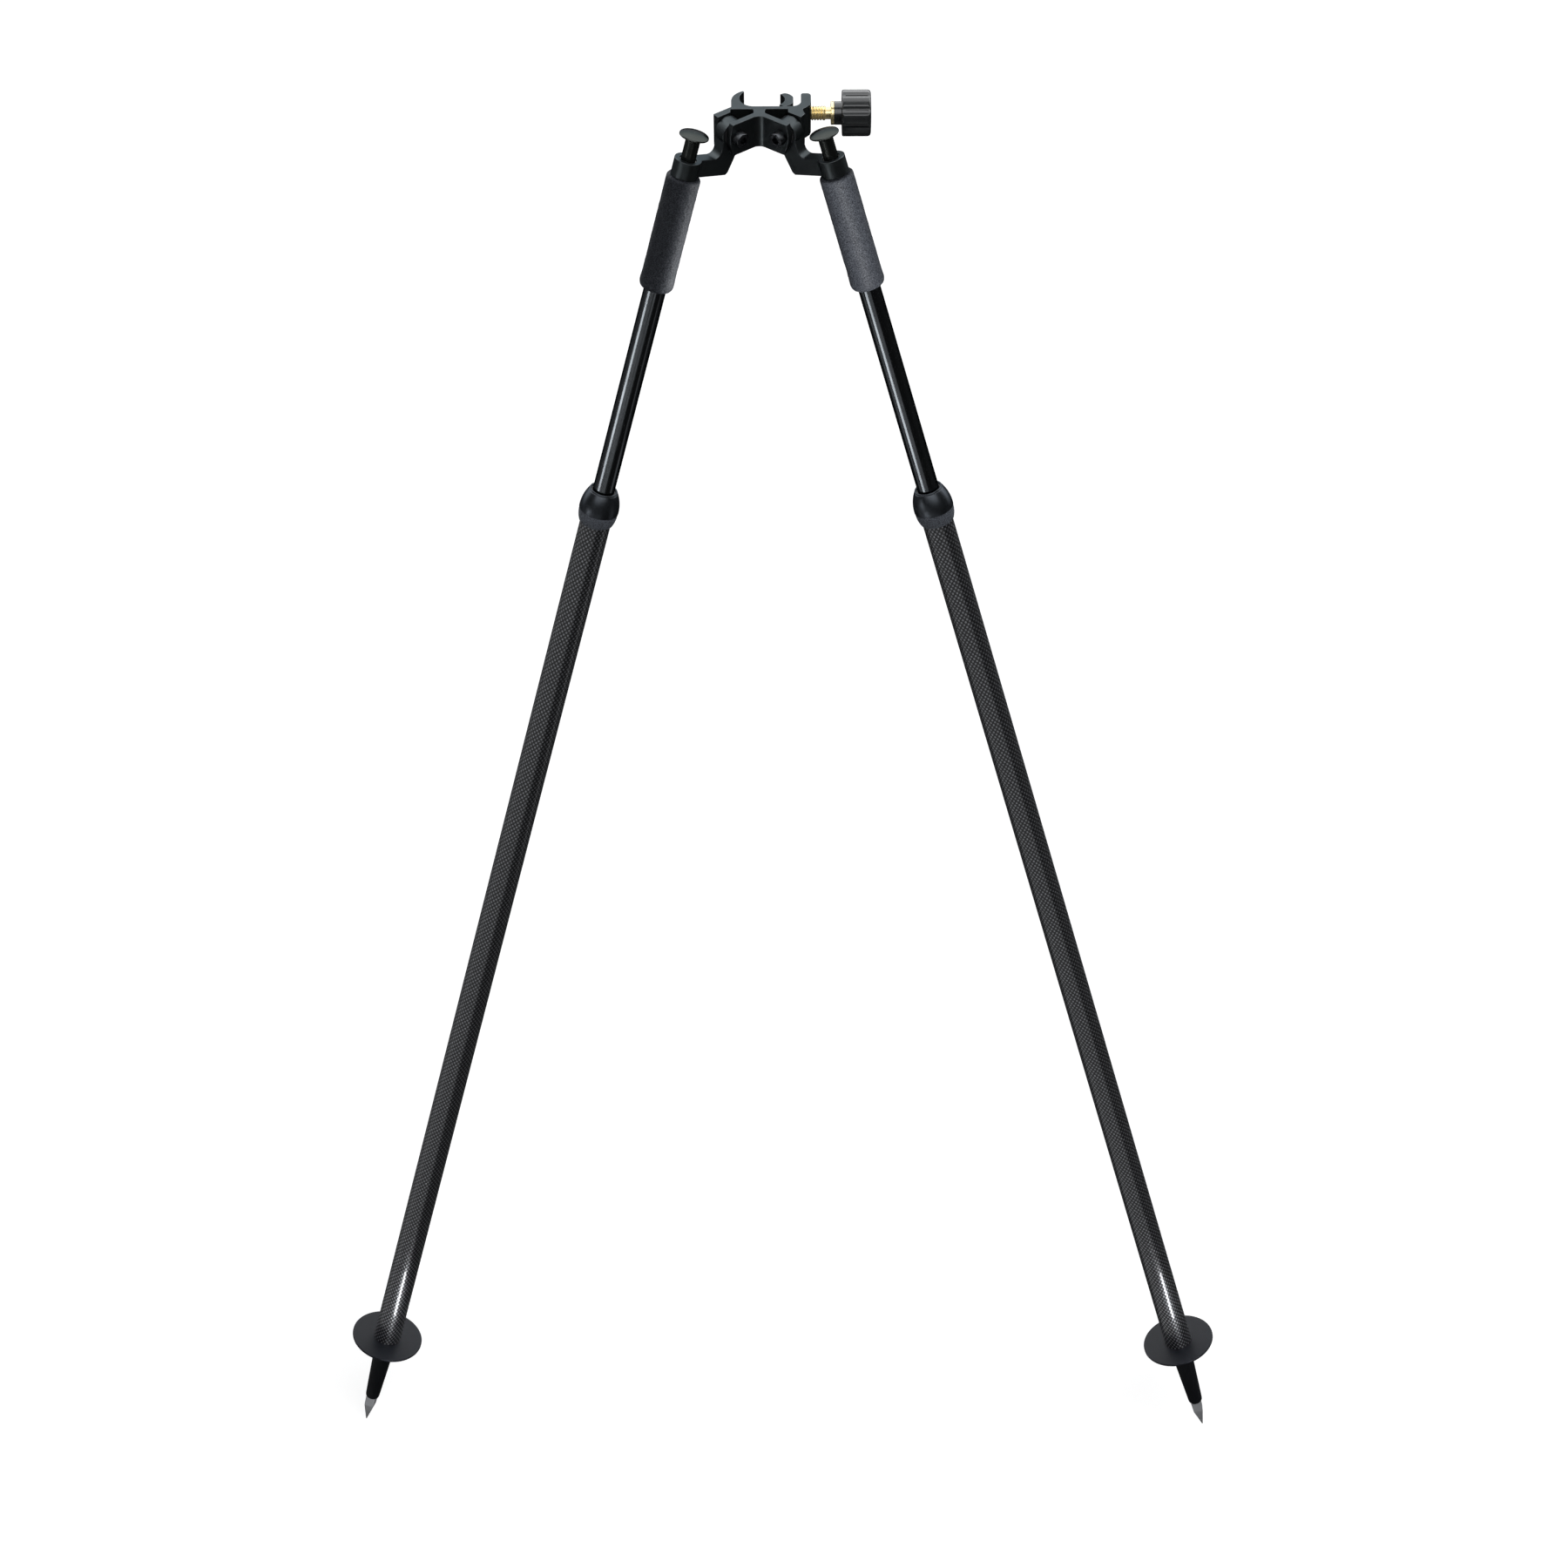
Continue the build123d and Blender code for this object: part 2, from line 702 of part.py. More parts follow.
    with BuildPart() as collar_band:
        with BuildSketch(leg.section):
            upper = (wide - 0.1, -collar_wide)
            lower = (band_lower, -collar_end + 0.6)
            with BuildLine():
                ThreePointArc(upper, (wide - band_belly[0], -collar_wide - band_belly[1]), lower)
                Polyline(
                    lower,
                    (band_end, -collar_end),
                    (tube_radius + 0.05, -collar_end),
                    (tube_radius + 0.05, -collar_wide),
                    upper,
                )
            make_face()
        revolve(axis=leg.axis)
    save(collar_band, "collar_band_" + label)

    with BuildPart() as collar_wiper:
        lip = collar_top + 1.4
        foot = shoulder - 0.2
        inner = rod_radius + 0.1
        outer = collar_bore - 0.05
        outline = [(inner, lip), (outer, lip), (outer, foot), (inner, foot)]
        revolve(ring(leg, outline), axis=leg.axis)
    save(collar_wiper, "collar_wiper_" + label)

    with BuildPart() as collar_bush:
        bush_end = collar_top + bush_length
        guide = rod_radius + 0.08
        outline = [
            (guide, shoulder),
            (tube_radius, shoulder),
            (tube_radius, tube_start),
            (inside_radius - 0.05, tube_start),
            (inside_radius - 0.05, bush_end),
            (guide, bush_end),
        ]
        revolve(ring(leg, outline), axis=leg.axis)
    save(collar_bush, "collar_bush_" + label)

    with BuildPart() as carbon_tube:
        outline = [
            (inside_radius, tube_start),
            (tube_radius, tube_start),
            (tube_radius, tube_end),
            (inside_radius, tube_end),
        ]
        revolve(ring(leg, outline), axis=leg.axis)
    save(carbon_tube, "carbon_tube_" + label)

    under = tube_end + disc_thickness
    with BuildPart() as foot_disc:
        rim = disc_diameter / 2
        outline = [
            (cone_neck + 0.05, tube_end),
            (rim - disc_edge, tube_end),
            (rim, tube_end + disc_edge),
            (rim, under - disc_edge),
            (rim - disc_edge, under),
            (cone_neck + 0.05, under),
        ]
        revolve(ring(leg, outline), axis=leg.axis)
    save(foot_disc, "foot_disc_" + label)

    with BuildPart() as foot_cone:
        spigot = tube_end - spigot_length
        socket_radius = shank_radius + seat_gap
        outline = [
            (0.0, spigot),
            (inside_radius - 0.5, spigot),
            (inside_radius - 0.05, spigot + 0.5),
            (inside_radius - 0.05, tube_end),
            (cone_neck, tube_end),
            (cone_neck, under),
            (cone_neck + 0.7, under),
            (cone_tip_radius, cone_end - cone_tip_edge[1]),
            (cone_tip_edge[0], cone_end),
            (socket_radius, cone_end),
            (socket_radius, cone_end - shank_length),
            (0.0, cone_end - shank_length),
        ]
        revolve(ring(leg, outline), axis=leg.axis)
    save(foot_cone, "foot_cone_" + label)

    with BuildPart() as steel_point:
        shank = cone_end - shank_length + 0.5
        outline = [(0.0, shank), (shank_radius, shank), (shank_radius, cone_end), (0.0, cone_end)]
        revolve(ring(leg, outline), axis=leg.axis)
        with BuildSketch(leg.level(cone_end)) as top_square:
            Rectangle(point_side, point_side, rotation=point_turn)
        with BuildSketch(leg.level(cone_end + point_waist)) as mid_square:
            Rectangle(point_side - point_taper, point_side - point_taper, rotation=point_turn)
        with BuildSketch(leg.level(point_end)) as low_square:
            Rectangle(point_tip, point_tip, rotation=point_turn)
        loft(sections=[top_square.sketch, mid_square.sketch, low_square.sketch], ruled=True)
    save(steel_point, "steel_point_" + label)


for leg in sides:
    build_leg(leg)
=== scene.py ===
import json
from math import atan2, cos, pi, radians, sin, sqrt

import bmesh
import bpy
from mathutils import Matrix, Vector, noise

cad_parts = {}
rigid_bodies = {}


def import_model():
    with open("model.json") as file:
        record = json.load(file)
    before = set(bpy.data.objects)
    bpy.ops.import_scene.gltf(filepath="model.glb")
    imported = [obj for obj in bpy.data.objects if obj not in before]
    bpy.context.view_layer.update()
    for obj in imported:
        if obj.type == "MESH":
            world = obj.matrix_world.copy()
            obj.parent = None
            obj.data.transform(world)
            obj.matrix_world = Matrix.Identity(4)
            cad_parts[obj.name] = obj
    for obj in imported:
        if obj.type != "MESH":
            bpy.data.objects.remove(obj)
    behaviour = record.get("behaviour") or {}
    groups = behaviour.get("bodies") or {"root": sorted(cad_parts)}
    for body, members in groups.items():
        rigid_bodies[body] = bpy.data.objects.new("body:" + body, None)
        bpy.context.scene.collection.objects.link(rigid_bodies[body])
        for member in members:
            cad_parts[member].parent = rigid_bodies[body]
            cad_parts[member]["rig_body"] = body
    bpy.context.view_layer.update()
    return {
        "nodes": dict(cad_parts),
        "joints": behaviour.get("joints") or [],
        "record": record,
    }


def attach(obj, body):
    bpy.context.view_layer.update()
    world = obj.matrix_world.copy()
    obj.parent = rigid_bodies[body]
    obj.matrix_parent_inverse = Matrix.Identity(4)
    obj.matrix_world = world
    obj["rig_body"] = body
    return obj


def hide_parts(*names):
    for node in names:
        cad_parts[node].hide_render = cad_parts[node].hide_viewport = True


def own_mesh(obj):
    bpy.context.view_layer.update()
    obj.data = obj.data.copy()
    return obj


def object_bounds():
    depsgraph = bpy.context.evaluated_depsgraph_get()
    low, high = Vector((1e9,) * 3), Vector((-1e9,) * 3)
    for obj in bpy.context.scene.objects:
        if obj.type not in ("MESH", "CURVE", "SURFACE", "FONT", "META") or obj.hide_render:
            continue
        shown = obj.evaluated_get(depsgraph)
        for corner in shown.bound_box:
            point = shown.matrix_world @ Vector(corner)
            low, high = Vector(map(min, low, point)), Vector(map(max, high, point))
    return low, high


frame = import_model()
nodes = frame["nodes"]
joints = {joint["name"]: joint for joint in frame["joints"]}
slot_of = {row["node"]: row["material_slot"] for row in frame["record"]["subparts"]}

MM = 0.001
SIDES = ("left", "right")
ROUND = 128  # faces round a turned piece
WELD = 0.002 * MM

# ---- camera, a long lens looking down on the head ----
CAMERA_TARGET = (4.4 * MM, -22.6 * MM, 0.0)
CAMERA_DISTANCE = 3.0
CAMERA_ELEVATION = 34.0
CAMERA_PITCH = 44.85
CAMERA_TURN = -0.49
CAMERA_LENS = 78.6
SENSOR = 36.0

# ---- studio ----
STUDIO_RADIUS = 40.0
FLOOR_GLOW = 0.66
SHELL_GLOW = 0.97
BLACK = (0.0, 0.0, 0.0)
WHITE = (1.0, 1.0, 1.0, 1.0)
COOL_WHITE = (0.97, 0.985, 1.0, 1.0)
# Suns: azimuth from the front towards the knob, elevation, strength and spread; the angles
# are in degrees. Each grip has one more of its own.
KEY_LIGHT = (40.0, 55.0, 1.2, 60.0)
GRIP_SPREAD = 25.0
GRIP_LIGHTS = (("left", 88.0, -22.0, 10.0), ("right", 12.0, -8.0, 7.5))

# ---- leg, measured down its axis from the top of the bracket's barrel, in mm ----
BARREL_OFFSET = 39.0
BARREL_DROP = 23.5
BARREL_LENGTH = 16.2
GRIP_RADIUS = 15.0
GRIP_END = 124.5
ROD_RADIUS = 10.0
ROD_BORE = 8.0
ROD_START = 6.5
ROD_END = 905.0
COLLAR_TOP = 332.5
COLLAR_WIDE = 354.5
COLLAR_END = 367.5
COLLAR_RADIUS = 18.3
COLLAR_BORE = 11.2
COLLAR_SHOULDER = 339.5
TUBE_RADIUS = 14.25
TUBE_BORE = 12.75
TUBE_START = 343.5
TUBE_END = 1406.5
DISC_RADIUS = 37.5
DISC_UNDER = 1409.0
CONE_NECK = 11.0
CONE_END = 1497.0
SPIGOT_TOP = 1368.5
SHANK_TOP = 1477.0
SHANK_RADIUS = 4.02

# ---- the head: where the right cheek's nose curve stops, and the jaw's pin hole, in mm ----
NOSE_LEVEL = -12.5
NOSE_REAR = -36.0
NOSE_REACH = (45.0, 48.0)
NOSE_SLOPE = 0.5
PIN_HOLE = (0.9, 1.1)

# ---- clamp screw and knob, along +X from the head's mid plane, in mm ----
HEAD_MID_X = 4.4
SCREW_Y = -0.6
SCREW_RADIUS = 6.25
THREAD_PITCH = 2.4
THREAD_DEPTH = 1.0
THREAD_START = 30.8
THREAD_END = 56.5
FLANGE_X = 61.9
FLANGE_END = 64.5
KNOB_X = 71.5
KNOB_LENGTH = 25.0
KNOB_RADIUS = 20.0
KNOB_LOBES = 8
FIRST_VALLEY = 5.3
VALLEY_CENTRE = 27.2
VALLEY_RADIUS = 8.4
VALLEY_EDGE = 0.5
SLOT_FLOOR = 17.4
SLOT_HALF = 0.55
SLOT_SPAN = (3.0, 22.0)


# ================= building materials =================
class Look:
    """A procedural material, built by short calls that add nodes and join them."""

    def __init__(self, name, colour, roughness, **sockets):
        self.material = bpy.data.materials.new(name)
        self.material.use_nodes = True
        self.tree = self.material.node_tree
        self.shader = self.tree.nodes["Principled BSDF"]
        self.put("Base Color", (*colour, 1.0))
        self.put("Roughness", roughness)
        for socket, value in sockets.items():
            self.put(socket.replace("_", " "), value)
        self.place = self.add("ShaderNodeTexCoord").outputs["Object"]

    def add(self, kind, inputs=None, **settings):
        made = self.tree.nodes.new(kind)
        for name, value in settings.items():
            setattr(made, name, value)
        for name, value in (inputs or {}).items():
            self.join(value, made.inputs[name])
        return made

    def join(self, value, socket):
        if isinstance(value, bpy.types.NodeSocket):
            self.tree.links.new(value, socket)
        else:
            socket.default_value = value

    def put(self, socket, value):
        self.join(value, self.shader.inputs[socket])

    def math(self, operation, *values):
        return self.add("ShaderNodeMath", dict(enumerate(values)), operation=operation).outputs[0]

    def parts(self, vector):
        return self.add("ShaderNodeSeparateXYZ", {0: vector}).outputs

    def stretched(self, scale):
        """The place, scaled by a factor along each axis."""
        return self.add("ShaderNodeMapping", {"Vector": self.place, "Scale": scale}).outputs[0]

    def noise(self, size, detail=3.0, place=None):
        """Cloudy noise of 0 to 1, with lumps of about size mm."""
        place = place or self.place
        inputs = {"Vector": place, "Scale": 1.0 / (size * MM), "Detail": detail}
        return self.add("ShaderNodeTexNoise", inputs).outputs["Fac"]

    def cells(self, size):
        """Distance from the middles of random cells of about size mm."""
        inputs = {"Vector": self.place, "Scale": 1.0 / (size * MM)}
        return self.add("ShaderNodeTexVoronoi", inputs).outputs["Distance"]

    def span(self, value, start, end, low, high):
        """The value's stretch from start to end, spread over low to high."""
        inputs = {"Value": value, "From Min": start, "From Max": end, "To Min": low, "To Max": high}
        return self.add("ShaderNodeMapRange", inputs).outputs[0]

    def mix(self, share, first, second):
        """A colour between two, each a triple or a socket."""
        made = self.add("ShaderNodeMix", data_type="RGBA")
        self.join(share, made.inputs[0])
        for index, colour in ((6, first), (7, second)):
            self.join((*colour, 1.0) if isinstance(colour, tuple) else colour, made.inputs[index])
        return made.outputs[2]

    def bump(self, height, depth, below=None):
        """Relief whose height of 0 to 1 is depth mm."""
        inputs = {"Height": height, "Distance": depth * MM, "Strength": 1.0}
        if below:
            inputs["Normal"] = below
        return self.add("ShaderNodeBump", inputs).outputs[0]


def edge_share(look, reach):
    """0 on broad faces and 1 on rounded edges that are within reach mm."""
    bevel = look.add("ShaderNodeBevel", {"Radius": reach * MM}, samples=4).outputs[0]
    normal = look.add("ShaderNodeNewGeometry").outputs["Normal"]
    dot = look.add("ShaderNodeVectorMath", {0: bevel, 1: normal}, operation="DOT_PRODUCT")
    return look.span(dot.outputs["Value"], 0.999, 0.93, 0.0, 1.0)


def scaled(colour, factor):
    return tuple(factor * channel for channel in colour)


def anodised(name, colour, roughness, grain=0.01, edge=(0.16, 0.17, 0.18)):
    """Dyed anodised aluminium: fine blasted grain, faint clouding, and a painted highlight that
    lightens rounded edges in patches.
    """
    look = Look(name, colour, roughness, Metallic=0.86, Specular_Tint=(0.3, 0.32, 0.34, 1.0))
    clouds = look.noise(9.0)
    fine = look.noise(0.35, 4.0)
    shade = look.mix(clouds, scaled(colour, 0.86), scaled(colour, 1.14))
    # Painted highlight: rounded edges are lightened towards the edge colour, in patches set by
    # noise.
    highlight_patches = look.span(look.noise(2.5), 0.35, 0.6, 0.35, 1.0)
    edge_highlight = look.math("MULTIPLY", edge_share(look, 0.5), highlight_patches)
    look.put("Base Color", look.mix(edge_highlight, shade, edge))
    look.put("Roughness", look.span(fine, 0.3, 0.7, 0.86 * roughness, 1.14 * roughness))
    look.put("Normal", look.bump(fine, grain))
    return look.material


def polished_rod():
    """Glossy black drawn tube: faint lengthwise drawing marks and a slow waviness."""
    colour = (0.095, 0.102, 0.108)
    look = Look("rod_gloss", colour, 0.17, Metallic=1.0, Specular_Tint=(0.2, 0.21, 0.22, 1.0))
    drawn = look.noise(0.5, 3.0, look.stretched((1.0, 1.0, 0.02)))
    smudges = look.noise(14.0, 2.0)
    look.put("Base Color", look.mix(drawn, scaled(colour, 0.9), scaled(colour, 1.1)))
    look.put("Roughness", look.span(smudges, 0.3, 0.7, 0.14, 0.2))
    look.put("Normal", look.bump(drawn, 0.002, look.bump(smudges, 0.012)))
    return look.material


def turned(name, colour, roughness, axis, pitch=0.25, depth=0.006, **sockets):
    """Metal turned on a lathe: rings of fine tool marks across the axis."""
    look = Look(name, colour, roughness, **{"Metallic": 1.0, **sockets})
    along = look.parts(look.place)[axis]
    rings = look.noise(pitch, 2.0, look.add("ShaderNodeCombineXYZ", {axis: along}).outputs[0])
    clouds = look.noise(5.0)
    look.put("Base Color", look.mix(clouds, scaled(colour, 0.84), scaled(colour, 1.12)))
    look.put("Roughness", look.span(clouds, 0.3, 0.7, 0.8 * roughness, 1.25 * roughness))
    look.put("Normal", look.bump(rings, depth))
    return look.material


def moulded(name, colour, roughness, lumps=0.6, depth=0.02, level=0.5):
    """Moulded plastic or rubber: a spark-eroded texture and slightly uneven gloss."""
    look = Look(name, colour, roughness, Specular_IOR_Level=level)
    clouds = look.noise(7.0)
    grain = look.noise(lumps, 4.0)
    look.put("Base Color", look.mix(clouds, scaled(colour, 0.8), scaled(colour, 1.25)))
    look.put("Roughness", look.span(grain, 0.3, 0.7, 0.85 * roughness, 1.15 * roughness))
    look.put("Normal", look.bump(grain, depth))
    return look.material


def foam():
    """Closed-cell foam: pale flecks over dark pores, and hardly any shine."""
    look = Look("grip_foam", (0.05, 0.055, 0.065), 0.6, Specular_IOR_Level=0.13)
    flecks = look.noise(0.9, 6.0)
    pores = look.cells(1.1)
    clouds = look.noise(12.0)
    pit = (0.008, 0.009, 0.012)
    speckle = look.mix(look.span(flecks, 0.36, 0.66, 0.0, 1.0), pit, (0.055, 0.06, 0.07))
    dark = look.math("MULTIPLY", look.span(pores, 0.42, 0.75, 0.0, 0.75), clouds)
    look.put("Base Color", look.mix(dark, speckle, pit))
    look.put("Roughness", look.span(flecks, 0.3, 0.7, 0.66, 0.5))
    look.put("Normal", look.bump(flecks, 0.12, look.bump(pores, 0.1)))
    return look.material


def grit(name, dark, light):
    """A gripping band: dense pale grit in a dark binder."""
    look = Look(name, light, 0.7)
    grains = look.cells(0.75)
    fine = look.noise(0.45, 5.0)
    clear = look.span(fine, 0.35, 0.6, 0.5, 1.0)
    share = look.math("MULTIPLY", look.span(grains, 0.15, 0.75, 1.0, 0.1), clear)
    look.put("Base Color", look.mix(share, dark, light))
    look.put("Roughness", look.span(fine, 0.3, 0.7, 0.55, 0.85))
    look.put("Normal", look.bump(grains, -0.12, look.bump(fine, 0.06)))
    return look.material


def carbon():
    """Carbon cloth under lacquer: a plain weave whose crossing tows catch the light in turn."""
    cells_round = 44
    cell_height = 2.7
    look = Look("carbon_cloth", (0.02, 0.02, 0.02), 0.4, Coat_Weight=0.7, Coat_Roughness=0.07)
    look.put("Specular IOR Level", 0.2)
    x, y, z = look.parts(look.place)
    across = look.math("MULTIPLY", look.math("ARCTAN2", y, x), cells_round / (2 * pi))
    wander = look.math("MULTIPLY", look.math("SUBTRACT", look.noise(18.0), 0.5), 0.5)
    along = look.math("ADD", look.math("DIVIDE", z, cell_height * MM), wander)
    step = look.math("ADD", look.math("FLOOR", across), look.math("FLOOR", along))
    weft_up = look.math("LESS_THAN", look.math("FLOORED_MODULO", step, 2.0), 0.5)
    arch_across = look.math("SINE", look.math("MULTIPLY", look.math("FRACT", across), pi))
    arch_along = look.math("SINE", look.math("MULTIPLY", look.math("FRACT", along), pi))
    dome = look.math("MULTIPLY", arch_across, arch_along)
    lift = look.span(weft_up, 0.0, 1.0, 0.45, 1.0)
    height = look.math("MULTIPLY", dome, lift)
    fibres = look.noise(0.28, 2.0, look.stretched((1.0, 1.0, 0.05)))
    patchy = look.span(look.noise(4.0, 4.0), 0.3, 0.7, 0.6, 1.0)
    shown = look.math("MULTIPLY", look.span(dome, 0.05, 0.55, 0.0, 1.0), weft_up)
    bright = look.math("MULTIPLY", shown, patchy)
    weft = look.mix(fibres, (0.22, 0.225, 0.24), (0.34, 0.345, 0.365))
    sheen = look.math("MULTIPLY", dome, fibres)
    warp = look.mix(sheen, (0.006, 0.006, 0.007), (0.024, 0.024, 0.026))
    look.put("Base Color", look.mix(bright, warp, weft))
    look.put("Metallic", look.span(bright, 0.0, 1.0, 0.3, 0.97))
    look.put("Roughness", look.span(bright, 0.0, 1.0, 0.5, 0.36))
    look.put("Normal", look.bump(height, 0.06, look.bump(fibres, 0.01)))
    return look.material


def machined_point():
    """Bare steel ground on four flats: cross grain, small scratches and a darker, dulled tip."""
    look = Look("point_steel", (0.42, 0.43, 0.45), 0.36, Metallic=0.4)
    ground = look.noise(0.3, 3.0, look.stretched((1.0, 1.0, 6.0)))
    blotches = look.noise(3.5, 4.0)
    # Darker and rougher towards the tip, in blotches set by noise.
    down = look.span(look.parts(look.place)[2], -1507.0 * MM, -1533.0 * MM, 0.0, 0.75)
    tip_darkening = look.math("MULTIPLY", down, look.span(blotches, 0.3, 0.6, 0.5, 1.0))
    steel = look.mix(ground, (0.5, 0.51, 0.53), (0.68, 0.69, 0.71))
    look.put("Base Color", look.mix(tip_darkening, steel, (0.09, 0.085, 0.08)))
    look.put("Roughness", look.span(tip_darkening, 0.0, 1.0, 0.3, 0.6))
    look.put("Normal", look.bump(ground, 0.015, look.bump(blotches, 0.02)))
    return look.material


HALF_TINT = (0.5, 0.5, 0.5, 1.0)
# Painted highlight colours for the rounded edges of the thumb buttons and the collars.
BUTTON_EDGE_HIGHLIGHT = (0.1, 0.105, 0.1)
COLLAR_EDGE_HIGHLIGHT = (0.12, 0.125, 0.13)
looks = {
    "head_black": anodised("head_anodised", (0.046, 0.052, 0.054), 0.34),
    "bolt_steel": turned("bolt_steel", (0.07, 0.073, 0.078), 0.3, 2, 0.4, Specular_Tint=HALF_TINT),
    "washer": moulded("washer_nylon", (0.016, 0.016, 0.017), 0.5),
    "brass": turned("brass_turned", (0.84, 0.69, 0.37), 0.26, 0, Metallic=0.7),
    "knob": moulded("knob_plastic", (0.02, 0.022, 0.023), 0.24, 0.7, 0.02, 0.6),
    "knob_cap": moulded("cap_plastic", (0.018, 0.019, 0.02), 0.35, 0.5, 0.02),
    "button_black": anodised("button_anodised", (0.04, 0.043, 0.04), 0.2, 0.004, BUTTON_EDGE_HIGHLIGHT),
    "bush_bronze": turned("bush_bronze", (0.42, 0.28, 0.13), 0.35, 2),
    "bush_black": moulded("bush_acetal", (0.012, 0.012, 0.012), 0.45),
    "foam": foam(),
    "rod_black": polished_rod(),
    "inner_steel": turned("inner_steel", (0.5, 0.5, 0.52), 0.3, 2),
    "inner_plastic": moulded("inner_acetal", (0.6, 0.6, 0.57), 0.45),
    "collar_black": anodised("collar_polished", (0.042, 0.046, 0.052), 0.34, 0.012, COLLAR_EDGE_HIGHLIGHT),
    "band_grey": grit("band_grit", (0.014, 0.015, 0.02), (0.2, 0.222, 0.26)),
    "seal": moulded("seal_rubber", (0.006, 0.006, 0.006), 0.6),
    "carbon": carbon(),
    "disc_black": moulded("disc_coated", (0.005, 0.0058, 0.0085), 0.5, 0.5, 0.03, 0.15),
    "cone_black": moulded("cone_coated", (0.007, 0.0075, 0.009), 0.5, 0.5, 0.03, 0.12),
    "point_steel": machined_point(),
}


# ================= building meshes =================
def leg_frame(side):
    """The leg's own axes at the top of its barrel: X out, Z up the leg."""
    up = -Vector(joints["leg_slide_" + side]["axis"]).normalized()
    swing = joints["leg_swing_" + side]
    out = up.cross(Vector(swing["axis"])).normalized()
    top = Vector(swing["pos_m"]) + out * BARREL_OFFSET * MM - up * BARREL_DROP * MM
    return Matrix.Translation(top) @ Matrix((out, up.cross(out), up)).transposed().to_4x4()


def screw_frame():
    """The clamp screw's axes: Z along the screw to the knob, from the head's mid plane."""
    spin = Matrix(((0, 0, 1), (1, 0, 0), (0, 1, 0))).to_4x4()
    return Matrix.Translation((HEAD_MID_X * MM, SCREW_Y * MM, 0.0)) @ spin


def bend(start, corner, end, steps=6):
    """A smooth turn from start to end that leans on the corner."""
    points = []
    for step in range(steps + 1):
        t = step / steps
        pulls = list(zip(((1 - t) ** 2, 2 * t * (1 - t), t**2), (start, corner, end)))
        points.append(tuple(sum(share * point[i] for share, point in pulls) for i in (0, 1)))
    return points


def arc(start, middle, end, steps=16):
    """A circle's arc through three points."""
    (ax, ay), (bx, by), (cx, cy) = start, middle, end
    area = 2 * (ax * (by - cy) + bx * (cy - ay) + cx * (ay - by))
    a, b, c = ax * ax + ay * ay, bx * bx + by * by, cx * cx + cy * cy
    x = (a * (by - cy) + b * (cy - ay) + c * (ay - by)) / area
    y = (a * (cx - bx) + b * (ax - cx) + c * (bx - ax)) / area
    first = atan2(ay - y, ax - x)
    sweep = (atan2(cy - y, cx - x) - first + pi) % (2 * pi) - pi
    radius = sqrt((ax - x) ** 2 + (ay - y) ** 2)
    angles = [first + sweep * step / steps for step in range(steps + 1)]
    return [(x + radius * cos(angle), y + radius * sin(angle)) for angle in angles]


def new_piece(name, form, place, sharp=35.0):
    """An object from a bmesh whose faces are smooth across edges flatter than sharp degrees."""
    bmesh.ops.recalc_face_normals(form, faces=form.faces)
    mesh = bpy.data.meshes.new(name)
    form.to_mesh(mesh)
    form.free()
    mesh.shade_smooth()
    mesh.set_sharp_from_angle(angle=radians(sharp))
    piece = bpy.data.objects.new(name, mesh)
    piece.matrix_world = place
    bpy.context.scene.collection.objects.link(piece)
    return piece


def surface(rows, angles, closed):
    """A skin over rows of (height, function of the angle giving a radius), in mm."""
    form = bmesh.new()
    rings = []
    for height, radius in rows:
        ring = []
        for angle in angles:
            r = radius(angle) * MM
            ring.append(form.verts.new((r * cos(angle), r * sin(angle), height * MM)))
        rings.append(ring)
    pairs = list(zip(rings, rings[1:]))
    if closed:
        pairs.append((rings[-1], rings[0]))
    else:
        form.faces.new(rings[0])
        form.faces.new(rings[-1])
    count = len(angles)
    for upper, lower in pairs:
        for i in range(count):
            form.faces.new((upper[i], upper[(i + 1) % count], lower[(i + 1) % count], lower[i]))
    return form


def even_angles(count):
    return [2 * pi * step / count for step in range(count)]


def lathe(name, outline, place, closed=True, count=ROUND):
    """A turned piece from (radius, depth) points in mm, depth counted down the axis."""
    rows = [(-depth, lambda angle, r=radius: r) for radius, depth in outline]
    return new_piece(name, surface(rows, even_angles(count), closed), place)


def divided(start, end, step):
    """Points on the run from start to end, about step apart, without its end."""
    run = (end[0] - start[0], end[1] - start[1])
    count = max(1, round(sqrt(run[0] ** 2 + run[1] ** 2) / step))
    return [tuple(start[i] + run[i] * k / count for i in (0, 1)) for k in range(count)]


def roughen(piece, layers, keep=lambda place: True):
    """Moves the surface along its normals by noise, in layers of (lump size, height) in mm."""
    moved = []
    for vertex in piece.data.vertices:
        rise = sum(noise.noise(vertex.co / (size * MM)) * height for size, height in layers)
        moved.extend(vertex.co + vertex.normal * rise * MM if keep(vertex.co) else vertex.co)
    piece.data.vertices.foreach_set("co", moved)
    return piece


def stand_for(piece, node):
    """The piece hides its CAD node, moves with the node's body and takes its finish."""
    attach(piece, nodes[node]["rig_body"])
    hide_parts(node)
    piece.data.materials.clear()
    piece.data.materials.append(looks[slot_of[node]])
    return piece


def trim_nose(form):
    """Draws the right front cheek's lower corner back to the curve of the cheek's nose."""
    axis = joints["leg_swing_right"]["axis"]
    out = Vector((abs(axis[1]), -abs(axis[0]), 0.0))
    level = NOSE_LEVEL * MM
    low = [v for v in form.verts if v.co.z < level + 0.01 * MM and v.co.y < NOSE_REAR * MM]
    near, far = NOSE_REACH[0] * MM, NOSE_REACH[1] * MM
    curve_end = max((out.dot(v.co) for v in low if near < out.dot(v.co) < far), default=far)
    for vertex in low:
        reach = out.dot(vertex.co)
        if reach > far:
            vertex.co -= out * (reach - curve_end + NOSE_SLOPE * (level - vertex.co.z))


